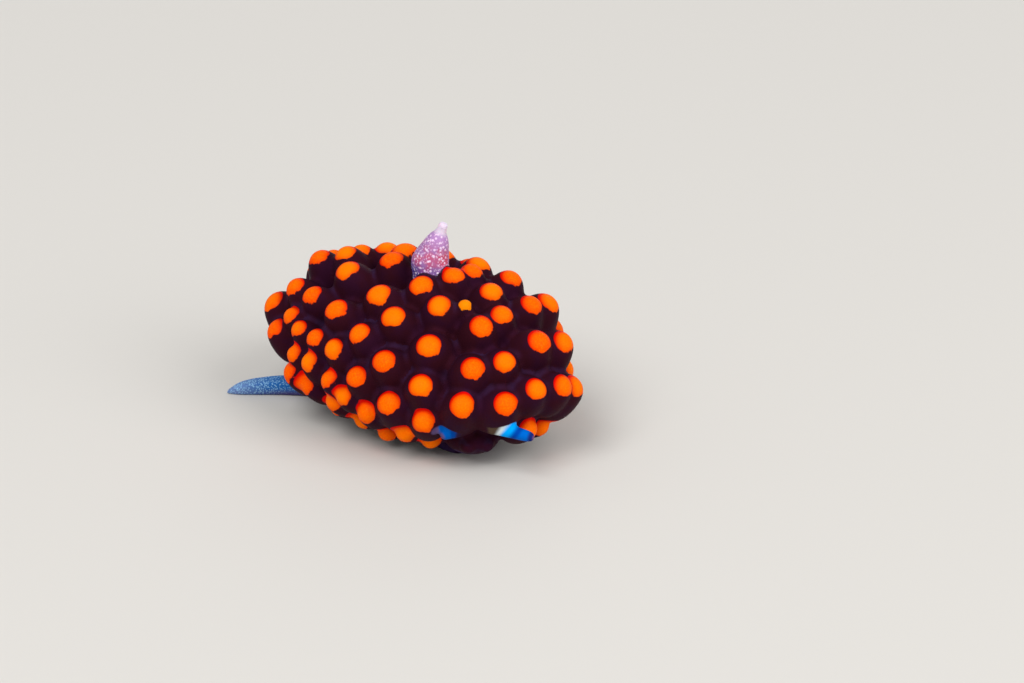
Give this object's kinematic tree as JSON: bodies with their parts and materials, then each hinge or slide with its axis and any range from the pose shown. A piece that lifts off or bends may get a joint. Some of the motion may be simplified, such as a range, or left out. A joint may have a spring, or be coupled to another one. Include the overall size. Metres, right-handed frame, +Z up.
{
  "type": "stiliger aureomarginatus sea slug model",
  "caption": "Still, life-size model of a small sea slug: dark club-shaped cerata with round orange tips packed over its back, blue feelers and a pointed blue tail.",
  "frame": {"origin": "on the floor, in the middle of the sole", "axes": "+X forward, towards the head end; +Y to the animal's left; +Z up"},
  "size_m": [0.0119, 0.0073, 0.0069],
  "materials": {
    "cerata_skin": "satin",
    "head_skin": "satin",
    "foot_skin": "satin",
    "tail_blue": "satin",
    "rhinophore_blue": "satin",
    "eye_black": "gloss",
    "ceras_mauve": "satin"
  },
  "bodies": {
    "root": {"torso": "cerata_skin", "head": "head_skin", "foot": "foot_skin", "tail": "tail_blue", "rhinophore_left": "rhinophore_blue", "rhinophore_right": "rhinophore_blue", "eye_left": "eye_black", "eye_right": "eye_black", "ceras_pale": "ceras_mauve"}
  },
  "joints": []
}
